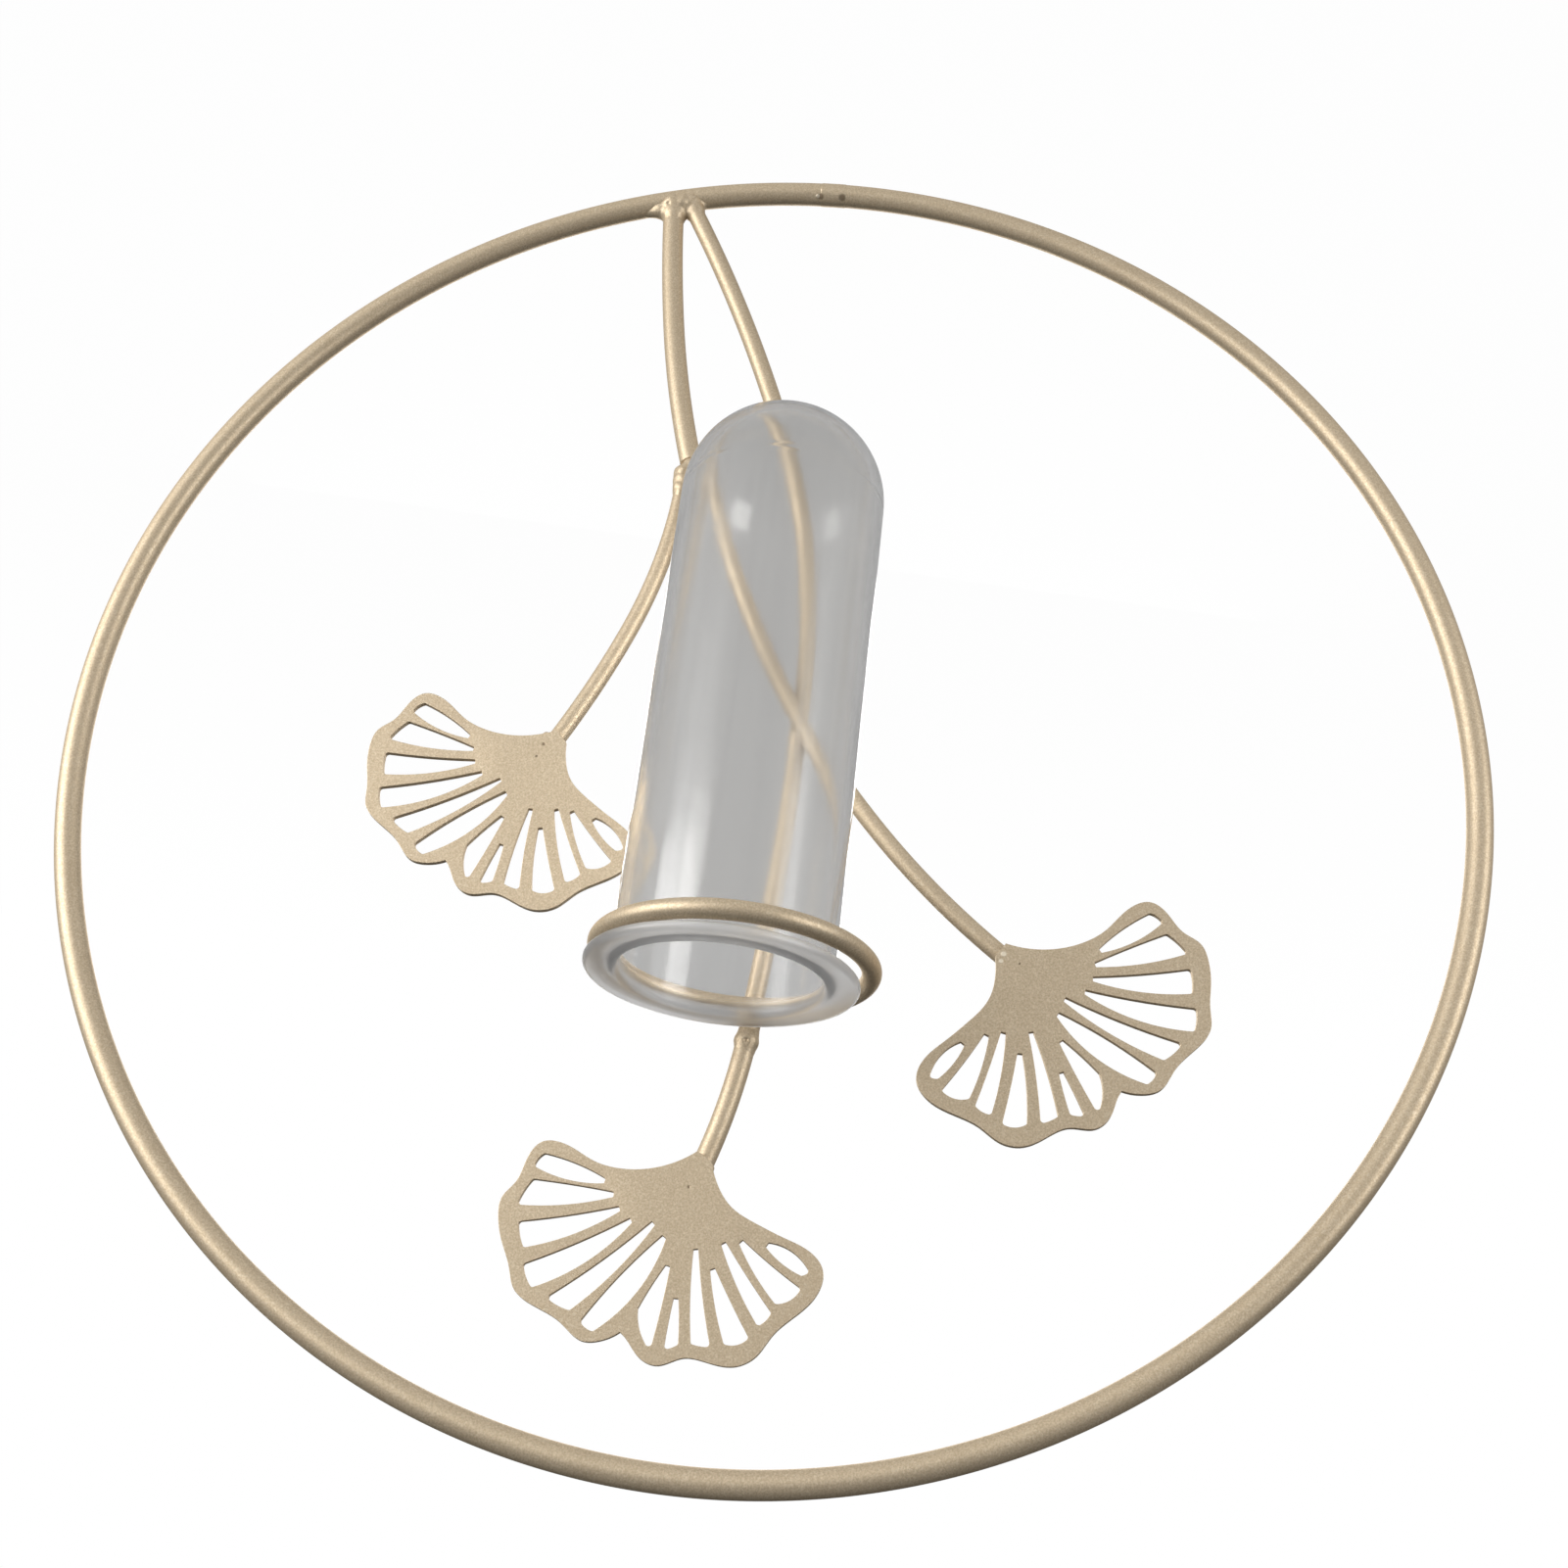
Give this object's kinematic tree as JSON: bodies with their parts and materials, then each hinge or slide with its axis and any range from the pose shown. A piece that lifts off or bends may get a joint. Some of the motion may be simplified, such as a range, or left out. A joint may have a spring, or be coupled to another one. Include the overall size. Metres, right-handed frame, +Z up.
{
  "type": "hanging wall vase",
  "caption": "Wall vase of gold painted rod: a hoop with bent stems and cut fan leaves, and a round-bottomed glass tube that lifts out of its wire ring.",
  "frame": {"origin": "hanging point, where the inside of the hoop's top rests on its nail", "axes": "+X right, +Y back to the wall, +Z up"},
  "size_m": [0.28, 0.0565, 0.2801],
  "materials": {
    "gold_paint": "satin metallic champagne gold with a fine sparkle",
    "clear_glass": "clear, smooth, drawn tube with a rounded lip"
  },
  "bodies": {
    "frame": {"hoop": "gold_paint", "hoop_seam_weld": "gold_paint", "trunk": "gold_paint", "stem": "gold_paint", "branch_right": "gold_paint", "branch_left": "gold_paint", "top_twig": "gold_paint", "holder_ring": "gold_paint", "leaf_right": "gold_paint", "leaf_left": "gold_paint", "leaf_top": "gold_paint", "root_weld": "gold_paint", "fork_weld": "gold_paint", "crossing_weld": "gold_paint", "holder_weld": "gold_paint", "twig_weld": "gold_paint", "leaf_right_weld": "gold_paint", "leaf_left_weld": "gold_paint", "leaf_top_weld": "gold_paint"},
    "tube": {"glass_tube": "clear_glass"}
  },
  "joints": [
    {"name": "tube_lift", "type": "slide", "parent": "frame", "child": "tube", "axis": [0, -0.0279, 0.9996], "range_m": [0, 0.125]}
  ]
}
